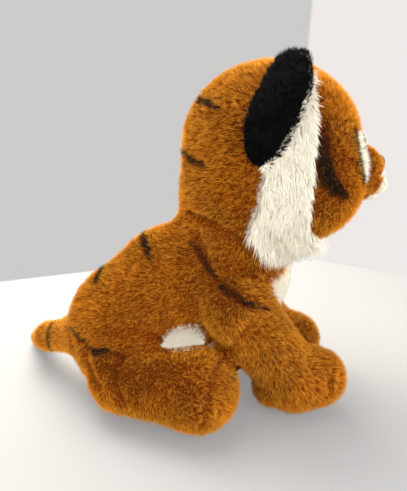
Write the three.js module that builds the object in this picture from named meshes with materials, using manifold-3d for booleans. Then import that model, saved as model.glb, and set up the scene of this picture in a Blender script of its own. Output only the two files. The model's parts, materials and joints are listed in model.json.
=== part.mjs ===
// Stuffed plush tiger that sits with its front legs ahead of it.
// Every cover is an open shell of pile fabric round its own filling, and the
// head, ears, legs and tail are sewn on so that they flex at their seams.
// Millimetres, +Z up. The tiger faces -Y, so its right side is at -X.
import * as THREE from 'three';
import { mergeVertices } from 'three/addons/utils/BufferGeometryUtils.js';
import Module from 'manifold-3d';

const wasm = await Module();
wasm.setup();

// Driving dimensions of the body
const bodyWidth = 92;
const bodyLength = 166;
const bodyHeight = 138;
const neckHeight = 121;
const neckForward = 38;
const neckTilt = 22;
const bellyPanelTilt = 38;

// Driving dimensions of the head
const headWidth = 120;
const headDepth = 122;
const headHeight = 112;
const headCentreHeight = 171;
const headCentreForward = 61;

// Snout, nose and eyes
const snoutWidth = 38;
const snoutHeight = 36;
const snoutReach = 19;
const muzzlePadWidth = 17;
const muzzlePadHeight = 15;
const muzzlePadReach = 9;
const chinWidth = 17;
const chinHeight = 10;
const chinReach = 8;
const noseWidth = 13;
const noseHeight = 10;
const noseDepth = 4.5;
const eyeDiameter = 14;
const eyeDome = 3;
const eyeRim = 0.8;
const eyeSink = 3.2;
const eyeStemDiameter = 3.2;
const eyeStemLength = 13;
const washerDiameter = 15;
const washerThickness = 1.6;

// Ears and cheek ruffs
const earLength = 68;
const earWidth = 26;
const earBackThickness = 7;
const earLiningThickness = 5;
const earCup = 5;
const ruffPile = 9;

// Legs
const frontLegReach = 39.5;
const frontLegRadius = 22.5;
const frontPawRadius = 23.5;
const frontPawToeLength = 18;
const frontLegRootRadius = 21;
const frontLegToeIn = 10;
const hindLegReach = 49.5;
const hindThighRadius = 27.5;
const hindFootRadius = 27.5;
const hindLegRootRadius = 23;
const hindLegToeOut = 19.5;
const soleTurnOut = 32;
const soleDepth = 13;

// Tail
const tailCurl = 56;
const tailBack = 49;
const tailRootRadius = 16;
const tailMiddleRadius = 13;
const tailTipRadius = 8;

// Filling
const pouchWidth = 74;
const pouchLength = 62;
const pouchHeight = 34;

// Fabric, seams and clearances
const coverWall = 4.2;
const seamGap = 0.3;
const washerDrop = 0.8;
const swingGap = 1.1;
const socketGap = 0.2;
const restFlat = 1;
const throughCut = 2;

// Ranges of the seams that flex, in degrees
const headTurn = [-15, 15];
const frontLegSwing = [-14, 4];
const hindLegSwing = [0, 16];
const tailSwing = [-18, 22];
const earFold = [-6, 18];
const swingSteps = 3;
const earSteps = 4;

// How firmly neighbouring lumps keep their own shape
const firmness = 4;
const limbFirmness = 5;

// Rows and columns of a fine and a coarse surface
const fineGrid = [14, 20];
const limbGrid = [8, 12];
const coarseGrid = [8, 12];
const limbCoarseGrid = [6, 8];
const smallGrid = [6, 10];
const leafGrid = [8, 16];
const roundSides = 16;
const rootGrid = [8, 20];
const eyeDomeSteps = 4;
const bisections = 26;
const skinLevel = 1;
const probeShare = 0.01;
const alongX = 0.9;
const ruffCurveSegments = 2;
const limbStretch = 1.8;
const tailStretch = 2.6;

// Places and sizes of the stuffed lumps, as shares of half the width, length
// and height of what they belong to, from its middle
const bodyLumpShares = [
  { at: [0, -0.46, 0.26], size: [0.90, 0.50, 0.58] },
  { at: [0, -0.48, 0.66], size: [0.88, 0.48, 0.46] },
  { at: [0, 0.05, 0.04], size: [0.88, 0.52, 0.71] },
  { at: [0, 0.43, -0.35], size: [0.94, 0.53, 0.71] },
];
const headLumpShares = [
  { at: [0, -0.01, 0.05], size: [0.95, 0.95, 0.94] },
  { at: [0, 0.36, -0.52], size: [0.78, 0.60, 0.62] },
  { at: [0.46, -0.30, -0.35], size: [0.45, 0.60, 0.64] },
  { at: [-0.46, -0.30, -0.35], size: [0.45, 0.60, 0.64] },
  { at: [0, -0.51, -0.55], size: [0.46, 0.46, 0.40] },
];

// The white panel under the chest and belly, as shares of the half sizes
const bellyPanelShares = { at: [0, -0.44, -0.24], size: [1.0, 0.86, 0.50] };

// Where the legs and the tail join the body, as shares of its half sizes
const shoulderShares = [0.84, -0.47, 0.11];
const shoulderRootShares = [0.76, -0.44, 0.12];
const hipShares = [0.76, 0.39];
const hipRootShares = [0.80, 0.45, -0.52];
const tailRootShares = [0.06, 0.91, -0.46];
const tailBendShares = { curl: 0.36, back: 0.54, drop: 0.37 };
const pouchShares = [0, 0.44];

// The outline of a cheek ruff from the side, as shares of the head's half
// depth and half height from the middle of the head
const ruffOutlineShares = [
  [-0.28, 0.66], [-0.31, 0.10], [-0.29, -0.50], [-0.32, -1.02],
  [0.00, -1.14], [0.24, -0.90], [0.20, -0.30], [0.16, 0.06], [-0.06, 0.34],
];

// The line of a limb is thinner than its named radius, which the swell makes up
const limbLineShare = 0.94;
const toeShare = 0.82;

// Places round the seat of the snout, as shares of the piece's own size
const bridgeLiftShare = 0.03;
const padSpreadShare = 0.42;
const padDropShare = 0.50;
const padForwardShare = 0.60;
const chinForwardShare = 0.45;
const chinDropShare = 0.94;
const noseReachShare = 0.86;
const noseLiftShare = 0.16;
const earTaperShare = 0.25;
const earFoldShare = 0.75;
const ruffInnerShare = 0.5;

// Directions from the middle of the head to what sits on it
const eyeDirection = [0.34, -0.94, 0.07];
const snoutDirection = [0, -0.97, -0.25];
const earDirection = [0.80, 0.25, 0.50];
const earUpDirection = [-0.31, -0.36, 0.84];

// Finishes
const finishes = {
  orangePlush: { color: 0xb4641e, roughness: 0.95, metalness: 0 },
  whitePlush: { color: 0xf1ebdc, roughness: 0.95, metalness: 0 },
  blackPlush: { color: 0x17171b, roughness: 0.95, metalness: 0 },
  filling: { color: 0xf4f4f2, roughness: 1, metalness: 0 },
  pouchCloth: { color: 0xd9d4c6, roughness: 0.9, metalness: 0 },
  blackPlastic: { color: 0x0b0907, roughness: 0.12, metalness: 0 },
  washerPlastic: { color: 0xdcdcd8, roughness: 0.4, metalness: 0 },
  noseCloth: { color: 0x8a4a42, roughness: 0.6, metalness: 0 },
};

// Vectors and half sizes
const vec = (x, y, z) => new THREE.Vector3(x, y, z);
const up = vec(0, 0, 1);
const bodyHalf = vec(bodyWidth / 2, bodyLength / 2, bodyHeight / 2);
const bodyMiddle = vec(0, 0, bodyHeight / 2);
const headHalf = vec(headWidth / 2, headDepth / 2, headHeight / 2);
const headMiddle = vec(0, -headCentreForward, headCentreHeight);
const reach = bodyLength + bodyHeight + headDepth;

function sharesPoint(shares, middle, half, side = 1) {
  return vec(shares[0] * side, shares[1], shares[2]).multiply(half).add(middle);
}

// A stuffed form is a set of lumps that swell into each other
function lumpyForm(lumpShares, middle, half) {
  const lumps = lumpShares.map(({ at, size }) => ({
    at: sharesPoint(at, middle, half),
    size: vec(...size).multiply(half),
  }));
  return { core: middle, axis: up, stretch: 1, firmness, lumps };
}

// Squared distance into a lump: 1 on its skin, less inside. A lump with two
// ends is a limb whose radius runs from one end's to the other's.
function depthIn(lump, point) {
  if (!lump.to) {
    return point.clone().sub(lump.at).divide(lump.size).lengthSq();
  }
  const line = lump.to.clone().sub(lump.at);
  const along = point.clone().sub(lump.at).dot(line) / line.lengthSq();
  const share = Math.min(Math.max(along, 0), 1);
  const radius = THREE.MathUtils.lerp(lump.radius, lump.toRadius, share);
  const nearest = lump.at.clone().addScaledVector(line, share);
  return point.distanceToSquared(nearest) / (radius * radius);
}

// The form's skin is where the lumps add up to skinLevel
function fieldAt(form, point) {
  return form.lumps.reduce((sum, lump) => sum + Math.exp(form.firmness * (1 - depthIn(lump, point))), 0);
}

// The point of the skin in a direction from the form's core
function skinPoint(form, direction) {
  let inside = 0;
  let outside = reach;
  for (let step = 0; step < bisections; step += 1) {
    const middle = (inside + outside) / 2;
    const point = form.core.clone().addScaledVector(direction, middle);
    if (fieldAt(form, point) > skinLevel) {
      inside = middle;
    } else {
      outside = middle;
    }
  }
  return form.core.clone().addScaledVector(direction, inside);
}

const probe = coverWall * probeShare;

// The outward normal of the skin at a point, from the fall of the field
function skinNormal(form, point) {
  const slope = (offset) => fieldAt(form, point.clone().sub(offset)) - fieldAt(form, point.clone().add(offset));
  return vec(slope(vec(probe, 0, 0)), slope(vec(0, probe, 0)), slope(vec(0, 0, probe))).normalize();
}

// A closed surface of rows from one pole to the other and columns round them
function closedGrid(rows, columns, pointAt) {
  const points = [];
  const faces = [];
  for (let row = 1; row < rows; row += 1) {
    for (let column = 0; column < columns; column += 1) {
      points.push(pointAt(row / rows, column / columns));
    }
  }
  const first = points.push(pointAt(0, 0)) - 1;
  const last = points.push(pointAt(1, 0)) - 1;
  const ring = (row, column) => (row - 1) * columns + (column % columns);
  for (let column = 0; column < columns; column += 1) {
    faces.push(first, ring(1, column), ring(1, column + 1));
    faces.push(last, ring(rows - 1, column + 1), ring(rows - 1, column));
    for (let row = 1; row < rows - 1; row += 1) {
      faces.push(ring(row, column), ring(row + 1, column), ring(row + 1, column + 1));
      faces.push(ring(row, column), ring(row + 1, column + 1), ring(row, column + 1));
    }
  }
  const geometry = new THREE.BufferGeometry().setFromPoints(points);
  geometry.setIndex(faces);
  return geometry;
}

// The form's skin as a mesh, moved out along its normals by grow
function formGeometry(form, grow, [rows, columns]) {
  const across = Math.abs(form.axis.x) < alongX ? vec(1, 0, 0) : vec(0, 1, 0);
  const first = across.clone().cross(form.axis).normalize();
  const second = form.axis.clone().cross(first);
  return closedGrid(rows, columns, (rowShare, columnShare) => {
    const polar = Math.PI * rowShare;
    const round = 2 * Math.PI * columnShare;
    const direction = form.axis.clone().multiplyScalar(Math.cos(polar) * form.stretch);
    direction.addScaledVector(first, Math.sin(polar) * Math.cos(round));
    direction.addScaledVector(second, Math.sin(polar) * Math.sin(round));
    const point = skinPoint(form, direction.normalize());
    return point.addScaledVector(skinNormal(form, point), grow);
  });
}

// Booleans
function toSolid(geometry) {
  const bare = geometry.clone();
  bare.deleteAttribute('normal');
  bare.deleteAttribute('uv');
  const merged = mergeVertices(bare);
  const vertProperties = new Float32Array(merged.attributes.position.array);
  const triVerts = new Uint32Array(merged.index.array);
  return new wasm.Manifold(new wasm.Mesh({ numProp: 3, vertProperties, triVerts }));
}

function formSolid(form, grow, grid) {
  return toSolid(formGeometry(form, grow, grid));
}

// A block on the far side of a plane
function blockBeyond(point, normal) {
  const geometry = new THREE.BoxGeometry(2 * reach, 2 * reach, reach);
  geometry.translate(0, 0, reach / 2);
  geometry.applyQuaternion(new THREE.Quaternion().setFromUnitVectors(up, normal));
  return toSolid(geometry.translate(point.x, point.y, point.z));
}

const underTable = blockBeyond(vec(0, 0, 0), vec(0, 0, -1));

// Turns a geometry about a hinge
function turned(geometry, pivot, axis, degrees) {
  const turn = new THREE.Matrix4().makeRotationAxis(axis, THREE.MathUtils.degToRad(degrees));
  const copy = geometry.clone().translate(-pivot.x, -pivot.y, -pivot.z);
  return copy.applyMatrix4(turn).translate(pivot.x, pivot.y, pivot.z);
}

// The space that a fixed piece takes up as seen from the piece that swings
function spaceSwept(geometry, pivot, axis, [least, most], steps = swingSteps) {
  let space = toSolid(turned(geometry, pivot, axis, -least));
  for (let step = 1; step <= steps; step += 1) {
    const degrees = THREE.MathUtils.lerp(least, most, step / steps);
    space = space.add(toSolid(turned(geometry, pivot, axis, -degrees)));
  }
  return space;
}

// Scene graph
const materials = Object.fromEntries(
  Object.entries(finishes).map(([name, values]) => [name, new THREE.MeshStandardMaterial(values)]),
);

function addPiece(group, name, solid, finish) {
  const { numProp, vertProperties, triVerts } = solid.getMesh();
  const geometry = new THREE.BufferGeometry();
  geometry.setAttribute('position', new THREE.BufferAttribute(new Float32Array(vertProperties), numProp));
  geometry.setIndex(new THREE.BufferAttribute(new Uint32Array(triVerts), 1));
  geometry.translate(-group.position.x, -group.position.y, -group.position.z);
  geometry.computeVertexNormals();
  const mesh = new THREE.Mesh(geometry, materials[finish]);
  mesh.name = name;
  group.add(mesh);
  return mesh;
}

// Each body's group stands at its seam, and carries the seam's axis and range
function groupAt(point, axis, range) {
  const group = new THREE.Group();
  group.position.copy(point);
  if (axis) {
    group.userData.hinge = { axis: axis.toArray(), range };
  }
  toy.add(group);
  return group;
}

const toy = new THREE.Group();
const sides = [{ name: 'right', side: -1 }, { name: 'left', side: 1 }];

// The neck seam is one plane, square to the axis that the head turns about
const neckNormal = up.clone().applyAxisAngle(vec(1, 0, 0), THREE.MathUtils.degToRad(neckTilt));
const neckPoint = vec(0, -neckForward, neckHeight);
const aboveNeck = blockBeyond(neckPoint, neckNormal);
const belowNeck = blockBeyond(neckPoint.clone().addScaledVector(neckNormal, seamGap), neckNormal.clone().negate());

const bodyForm = lumpyForm(bodyLumpShares, bodyMiddle, bodyHalf);
const headForm = lumpyForm(headLumpShares, headMiddle, headHalf);

// A ball with its poles on the limb's hinge, so that it turns in a like socket
function rootBall(limb, radius) {
  const [rows, columns] = rootGrid;
  const geometry = new THREE.SphereGeometry(radius, columns, rows);
  geometry.applyQuaternion(new THREE.Quaternion().setFromUnitVectors(vec(0, 1, 0), limb.axis));
  return toSolid(geometry.translate(limb.pivot.x, limb.pivot.y, limb.pivot.z));
}

// The socket's flat faces lie outside the corners of the ball
function socket(limb) {
  const flatShare = Math.cos(Math.PI / rootGrid[1]);
  return rootBall(limb, (limb.rootRadius + socketGap) / flatShare);
}

// A limb: a root ball in a socket of the body, and the rest of the form where
// it stays clear of the body at every angle of its seam
function limbSolid(limb, grow, ballRadius, grid, trunkGrid) {
  const form = formSolid(limb.form, grow, grid);
  const trunk = formGeometry(bodyForm, swingGap - grow, trunkGrid);
  const root = form.intersect(rootBall(limb, ballRadius));
  const rest = form.subtract(spaceSwept(trunk, limb.pivot, limb.axis, limb.swing));
  return root.add(rest).subtract(underTable);
}

function limbPieces(limb) {
  const outside = limbSolid(limb, 0, limb.rootRadius, limbGrid, fineGrid);
  const hollow = limbSolid(limb, -coverWall, limb.rootRadius + throughCut, limbCoarseGrid, fineGrid);
  const filling = limbSolid(limb, -coverWall - seamGap, limb.rootRadius, limbCoarseGrid, fineGrid);
  return { cover: outside.subtract(hollow), filling };
}

// Front legs
function frontLeg(side) {
  const shoulder = sharesPoint(shoulderShares, bodyMiddle, bodyHalf, side);
  const toeIn = THREE.MathUtils.degToRad(frontLegToeIn);
  const forward = vec(-side * Math.sin(toeIn), -Math.cos(toeIn), 0);
  const paw = shoulder.clone().addScaledVector(forward, frontLegReach);
  paw.z = frontPawRadius - restFlat;
  const toes = paw.clone().addScaledVector(forward, frontPawToeLength);
  toes.z = frontPawRadius - restFlat;
  const lumps = [
    { at: shoulder, to: paw, radius: frontLegRadius, toRadius: frontPawRadius * limbLineShare },
    { at: paw, to: toes, radius: frontPawRadius * limbLineShare, toRadius: frontPawRadius * toeShare },
  ];
  const core = shoulder.clone().add(paw).divideScalar(2);
  const axis = shoulder.clone().sub(paw).normalize();
  return {
    form: { core, axis, stretch: limbStretch, firmness: limbFirmness, lumps },
    pivot: sharesPoint(shoulderRootShares, bodyMiddle, bodyHalf, side),
    axis: vec(1, 0, 0),
    swing: frontLegSwing,
    rootRadius: frontLegRootRadius,
  };
}

// Hind legs lie along the table and turn outwards
function hindLeg(side) {
  const thigh = sharesPoint([...hipShares, 0], bodyMiddle, bodyHalf, side);
  thigh.z = hindThighRadius - restFlat;
  const toeOut = THREE.MathUtils.degToRad(hindLegToeOut);
  const forward = vec(side * Math.sin(toeOut), -Math.cos(toeOut), 0);
  const foot = thigh.clone().addScaledVector(forward, hindLegReach);
  foot.z = hindFootRadius - restFlat;
  const lumps = [
    { at: thigh, to: foot, radius: hindThighRadius * limbLineShare, toRadius: hindFootRadius * limbLineShare },
    { at: foot, size: vec(hindFootRadius, hindFootRadius, hindFootRadius).multiplyScalar(limbLineShare) },
  ];
  const core = thigh.clone().add(foot).divideScalar(2);
  return {
    form: { core, axis: thigh.clone().sub(foot).normalize(), stretch: limbStretch, firmness: limbFirmness, lumps },
    pivot: sharesPoint(hipRootShares, bodyMiddle, bodyHalf, side),
    axis: vec(0, 0, side),
    swing: hindLegSwing,
    rootRadius: hindLegRootRadius,
    foot,
    forward,
  };
}

// The tail lies back along the table and curls to the tiger's left
function tailLimb() {
  const root = sharesPoint(tailRootShares, bodyMiddle, bodyHalf);
  const tip = root.clone().add(vec(tailCurl, tailBack, 0));
  tip.z = tailTipRadius - restFlat;
  const bend = vec(
    root.x + tailCurl * tailBendShares.curl,
    root.y + tailBack * tailBendShares.back,
    THREE.MathUtils.lerp(root.z, tip.z, tailBendShares.drop),
  );
  const inward = root.clone().sub(bend).setLength(tailRootRadius);
  const lumps = [
    { at: root.clone().add(inward), to: bend, radius: tailRootRadius, toRadius: tailMiddleRadius * limbLineShare },
    { at: bend, to: tip, radius: tailMiddleRadius * limbLineShare, toRadius: tailTipRadius },
  ];
  return {
    form: { core: bend, axis: root.clone().sub(tip).normalize(), stretch: tailStretch, firmness: limbFirmness, lumps },
    pivot: root,
    axis: up,
    swing: tailSwing,
    rootRadius: tailRootRadius,
  };
}

const hindLegs = sides.map(({ name, side }) => ({ name, side, ...hindLeg(side) }));
const frontLegs = sides.map(({ name, side }) => ({ name, side, ...frontLeg(side) }));
const tail = tailLimb();
const sockets = [...frontLegs, ...hindLegs, tail].map(socket);

// Body: cover, white panel, filling and the pouch of pellets in the rump
function addBody() {
  const group = groupAt(vec(0, 0, 0));
  const panelAt = sharesPoint(bellyPanelShares.at, bodyMiddle, bodyHalf);
  const panelRegion = (grow) => {
    const geometry = new THREE.SphereGeometry(1, roundSides, roundSides);
    const size = vec(...bellyPanelShares.size).multiply(bodyHalf).addScalar(grow);
    geometry.scale(size.x, size.y, size.z).rotateX(-THREE.MathUtils.degToRad(bellyPanelTilt));
    return toSolid(geometry.translate(panelAt.x, panelAt.y, panelAt.z));
  };
  const cuts = [aboveNeck, underTable, ...sockets];
  const trimmed = (solid) => cuts.reduce((rest, cut) => rest.subtract(cut), solid);
  const outside = trimmed(formSolid(bodyForm, 0, fineGrid));
  const hollow = formSolid(bodyForm, -coverWall, coarseGrid);
  const shell = outside.subtract(hollow);
  addPiece(group, 'torso_cover', shell.subtract(panelRegion(seamGap)), 'orangePlush');
  addPiece(group, 'belly_panel', shell.intersect(panelRegion(0)), 'whitePlush');
  const inside = trimmed(formSolid(bodyForm, -coverWall - seamGap, coarseGrid));
  const pouch = (grow) => {
    const geometry = new THREE.SphereGeometry(1, roundSides, roundSides / 2);
    geometry.scale(pouchWidth / 2 + grow, pouchLength / 2 + grow, pouchHeight + grow);
    return toSolid(geometry.translate(0, bodyHalf.y * pouchShares[1], 0));
  };
  addPiece(group, 'torso_stuffing', inside.subtract(pouch(seamGap)), 'filling');
  addPiece(group, 'pellet_pouch', inside.intersect(pouch(0)), 'pouchCloth');
}

// Head: cover with its eye bores, filling, snout, ruffs and eyes
function lathe(profile) {
  return new THREE.LatheGeometry(profile.map(([radius, height]) => new THREE.Vector2(radius, height)), roundSides);
}

// Stands a lathed piece, whose axis is +Y, on a point with its axis outward
function stoodOn(geometry, point, normal) {
  geometry.applyQuaternion(new THREE.Quaternion().setFromUnitVectors(vec(0, 1, 0), normal));
  return toSolid(geometry.translate(point.x, point.y, point.z));
}

function eyeGeometry() {
  const radius = eyeDiameter / 2;
  const stem = eyeStemDiameter / 2;
  const profile = [[0, -eyeStemLength], [stem, -eyeStemLength], [stem, 0], [radius, 0]];
  for (let step = 0; step <= eyeDomeSteps; step += 1) {
    const angle = (Math.PI / 2) * (step / eyeDomeSteps);
    profile.push([radius * Math.cos(angle), eyeRim + eyeDome * Math.sin(angle)]);
  }
  return lathe(profile);
}

function washerGeometry() {
  const bore = eyeStemDiameter / 2 + seamGap;
  const outer = washerDiameter / 2;
  const profile = [[bore, -washerThickness], [outer, -washerThickness], [outer, 0], [bore, 0]];
  return lathe([...profile, profile[0]]);
}

// A round cut between two heights over the skin
function plugGeometry(radius, bottom, top) {
  return lathe([[0, bottom], [radius, bottom], [radius, top], [0, top]]);
}

function ellipsoidForm(at, size) {
  return { core: at, axis: up, stretch: 1, firmness, lumps: [{ at, size }] };
}

function addHead() {
  const group = groupAt(neckPoint, neckNormal, headTurn);
  const seat = skinPoint(headForm, vec(...snoutDirection).normalize());
  const eyes = sides.map(({ name, side }) => {
    const direction = vec(eyeDirection[0] * side, eyeDirection[1], eyeDirection[2]).normalize();
    const point = skinPoint(headForm, direction);
    const normal = skinNormal(headForm, point);
    return { name, point, normal };
  });
  const washerDepth = coverWall + washerDrop;
  const stemRadius = eyeStemDiameter / 2 + seamGap;
  const washerRadius = washerDiameter / 2 + seamGap;
  // The cover is pierced for the stem, and flat under the eye and the washer
  const eyeCuts = (eye, washerBottom) => {
    const stem = plugGeometry(stemRadius, -eyeSink - eyeStemLength - seamGap, throughCut);
    const seatCut = plugGeometry(eyeDiameter / 2 + seamGap, -eyeSink, throughCut);
    const washerCut = plugGeometry(washerRadius, washerBottom, seamGap - washerDepth);
    return [stem, seatCut, washerCut].map((cut) => stoodOn(cut, eye.point, eye.normal));
  };
  const cutForEyes = (solid, washerBottom) => {
    const cuts = eyes.flatMap((eye) => eyeCuts(eye, washerBottom));
    return cuts.reduce((rest, cut) => rest.subtract(cut), solid);
  };
  const outside = formSolid(headForm, 0, fineGrid).subtract(belowNeck);
  const hollow = formSolid(headForm, -coverWall, coarseGrid);
  const inside = formSolid(headForm, -coverWall - seamGap, coarseGrid).subtract(belowNeck);
  const cover = cutForEyes(outside.subtract(hollow), -eyeSink - eyeStemLength);
  const filling = cutForEyes(inside, -washerDepth - washerThickness - seamGap);
  addPiece(group, 'head_cover', cover, 'orangePlush');
  addPiece(group, 'head_stuffing', filling, 'filling');
  for (const { name, point, normal } of eyes) {
    const proud = point.clone().addScaledVector(normal, seamGap - eyeSink);
    const inward = point.clone().addScaledVector(normal, -washerDepth);
    addPiece(group, `eye_${name}`, stoodOn(eyeGeometry(), proud, normal), 'blackPlastic');
    addPiece(group, `eye_washer_${name}`, stoodOn(washerGeometry(), inward, normal), 'washerPlastic');
  }
  addSnout(group, seat);
  addRuffs(group);
}

// Snout: a bridge, two muzzle pads, a chin and a nose, each cut by the larger
// ones behind it
function addSnout(group, seat) {
  const head = formSolid(headForm, seamGap, fineGrid);
  const bridgeAt = seat.clone().add(vec(0, 0, snoutHeight * bridgeLiftShare));
  const bridgeForm = ellipsoidForm(bridgeAt, vec(snoutWidth / 2, snoutReach, snoutHeight / 2));
  const bridge = formSolid(bridgeForm, 0, smallGrid).subtract(head);
  addPiece(group, 'snout_bridge', bridge, 'orangePlush');
  const bridgeSpace = formSolid(bridgeForm, seamGap, smallGrid);
  let padSpace = bridgeSpace;
  const midline = (side) => blockBeyond(vec(side * seamGap / 2, 0, 0), vec(-side, 0, 0));
  for (const { name, side } of sides) {
    const at = seat.clone();
    at.x += side * muzzlePadWidth * padSpreadShare;
    at.y -= snoutReach * padForwardShare;
    at.z -= muzzlePadHeight * padDropShare;
    const form = ellipsoidForm(at, vec(muzzlePadWidth / 2, muzzlePadReach, muzzlePadHeight / 2));
    const pad = formSolid(form, 0, smallGrid).subtract(head).subtract(bridgeSpace).subtract(midline(side));
    addPiece(group, `muzzle_pad_${name}`, pad, 'whitePlush');
    padSpace = padSpace.add(formSolid(form, seamGap, smallGrid));
  }
  const chinAt = seat.clone().add(vec(0, -snoutReach * chinForwardShare, -muzzlePadHeight * chinDropShare));
  const chinForm = ellipsoidForm(chinAt, vec(chinWidth / 2, chinReach, chinHeight / 2));
  const chin = formSolid(chinForm, 0, smallGrid).subtract(head).subtract(padSpace);
  addPiece(group, 'chin', chin, 'whitePlush');
  const noseAt = seat.clone().add(vec(0, -snoutReach * noseReachShare, snoutHeight * noseLiftShare));
  const noseForm = ellipsoidForm(noseAt, vec(noseWidth / 2, noseDepth, noseHeight / 2));
  addPiece(group, 'nose', formSolid(noseForm, 0, smallGrid).subtract(padSpace), 'noseCloth');
}

// Cheek ruffs: a patch of long pile over each side of the head
function ruffRegion(side) {
  const points = ruffOutlineShares.map(([y, z]) => new THREE.Vector2(y * headHalf.y, z * headHalf.z));
  const outline = new THREE.Shape();
  outline.moveTo(points[0].x, points[0].y);
  outline.splineThru([...points.slice(1), points[0]]);
  const geometry = new THREE.ExtrudeGeometry(outline, {
    depth: headWidth, bevelEnabled: false, curveSegments: ruffCurveSegments,
  });
  // The outline's two axes become Y and Z, and the extrusion runs along X
  const turn = new THREE.Matrix4().makeBasis(vec(0, 1, 0), up, vec(1, 0, 0));
  geometry.applyMatrix4(turn);
  const inner = headHalf.x * ruffInnerShare;
  const start = side > 0 ? inner : -headWidth - inner;
  return toSolid(geometry.translate(start, headMiddle.y, headMiddle.z));
}

function addRuffs(group) {
  for (const { name, side } of sides) {
    const outer = formSolid(headForm, ruffPile, fineGrid);
    const inner = formSolid(headForm, seamGap, fineGrid);
    const frame = earFrame(side);
    const axis = frame.along.clone().multiplyScalar(side);
    const ear = leafGeometry(frame, [0, earBackThickness], [0, -earLiningThickness], swingGap);
    const earSpace = spaceSwept(ear, frame.base, axis, [-earFold[1], -earFold[0]], earSteps);
    const patch = outer.intersect(ruffRegion(side)).subtract(inner).subtract(belowNeck);
    const ruff = patch.subtract(earSpace);
    addPiece(group, `cheek_ruff_${name}`, ruff, 'whitePlush');
  }
}

// Ears: a cupped leaf of two layers, black behind and white inside
function leafGeometry(frame, outerRise, innerRise, grow = 0) {
  const [rows, columns] = leafGrid;
  return closedGrid(rows, columns, (rowShare, columnShare) => {
    const polar = Math.PI * rowShare;
    const round = -frame.side * 2 * Math.PI * columnShare;
    const radius = Math.sin(polar);
    const dome = Math.abs(Math.cos(polar));
    const rise = Math.cos(polar) > 0 ? outerRise : innerRise;
    const taper = 1 + earTaperShare * radius * Math.sin(round);
    const point = frame.base.clone();
    const baseWidth = earWidth * earFoldShare;
    const sideWidth = Math.cos(round) > 0 ? earWidth - baseWidth : baseWidth;
    point.addScaledVector(frame.along, (earLength / 2 + grow) * radius * Math.sin(round));
    point.addScaledVector(frame.across, baseWidth + (sideWidth + grow) * radius * Math.cos(round) * taper);
    const growth = Math.cos(polar) > 0 ? grow : -grow;
    return point.addScaledVector(frame.normal, earCup * dome * dome + rise[0] + rise[1] * dome + growth);
  });
}

function earFrame(side) {
  const direction = vec(earDirection[0] * side, earDirection[1], earDirection[2]).normalize();
  const base = skinPoint(headForm, direction);
  const normal = skinNormal(headForm, base);
  const along = vec(earUpDirection[0] * side, earUpDirection[1], earUpDirection[2]);
  along.addScaledVector(normal, -along.dot(normal)).normalize();
  const across = along.clone().cross(normal).multiplyScalar(-side);
  return { side, base, normal, along, across };
}

function addEars() {
  for (const { name, side } of sides) {
    const frame = earFrame(side);
    const axis = frame.along.clone().multiplyScalar(side);
    const group = groupAt(frame.base, axis, earFold);
    const head = formGeometry(headForm, seamGap, fineGrid);
    const space = spaceSwept(head, frame.base, axis, earFold, earSteps);
    const back = leafGeometry(frame, [seamGap / 2, earBackThickness], [seamGap / 2, 0]);
    const lining = leafGeometry(frame, [-seamGap / 2, 0], [-seamGap / 2, -earLiningThickness]);
    addPiece(group, `ear_${name}_back`, toSolid(back).subtract(space), 'blackPlush');
    addPiece(group, `ear_${name}_lining`, toSolid(lining).subtract(space), 'whitePlush');
  }
}

// Legs and tail
function addFrontLegs() {
  for (const leg of frontLegs) {
    const group = groupAt(leg.pivot, leg.axis, leg.swing);
    const { cover, filling } = limbPieces(leg);
    addPiece(group, `front_leg_${leg.name}_cover`, cover, 'orangePlush');
    addPiece(group, `front_leg_${leg.name}_stuffing`, filling, 'filling');
  }
}

function addHindLegs() {
  for (const leg of hindLegs) {
    const group = groupAt(leg.pivot, leg.axis, leg.swing);
    const { cover, filling } = limbPieces(leg);
    const turnOut = THREE.MathUtils.degToRad(soleTurnOut - hindLegToeOut) * leg.side;
    const facing = leg.forward.clone().applyAxisAngle(up, turnOut);
    const seam = leg.foot.clone().addScaledVector(facing, soleDepth);
    const beyond = blockBeyond(seam, facing);
    const beyondSeam = blockBeyond(seam.clone().addScaledVector(facing, seamGap), facing);
    addPiece(group, `hind_leg_${leg.name}_cover`, cover.subtract(beyond), 'orangePlush');
    addPiece(group, `sole_${leg.name}`, cover.intersect(beyondSeam), 'orangePlush');
    addPiece(group, `hind_leg_${leg.name}_stuffing`, filling, 'filling');
  }
}

function addTail() {
  const group = groupAt(tail.pivot, tail.axis, tail.swing);
  const { cover, filling } = limbPieces(tail);
  addPiece(group, 'tail_cover', cover, 'orangePlush');
  addPiece(group, 'tail_stuffing', filling, 'filling');
}

addBody();
addHead();
addEars();
addFrontLegs();
addHindLegs();
addTail();

// The origin is under the middle of the toy, on the table
const box = new THREE.Box3().setFromObject(toy);
const middle = box.getCenter(vec(0, 0, 0));
toy.position.set(-middle.x, -middle.y, -box.min.z);
toy.updateMatrixWorld(true);

export default toy;
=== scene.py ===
import json
import math

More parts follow.
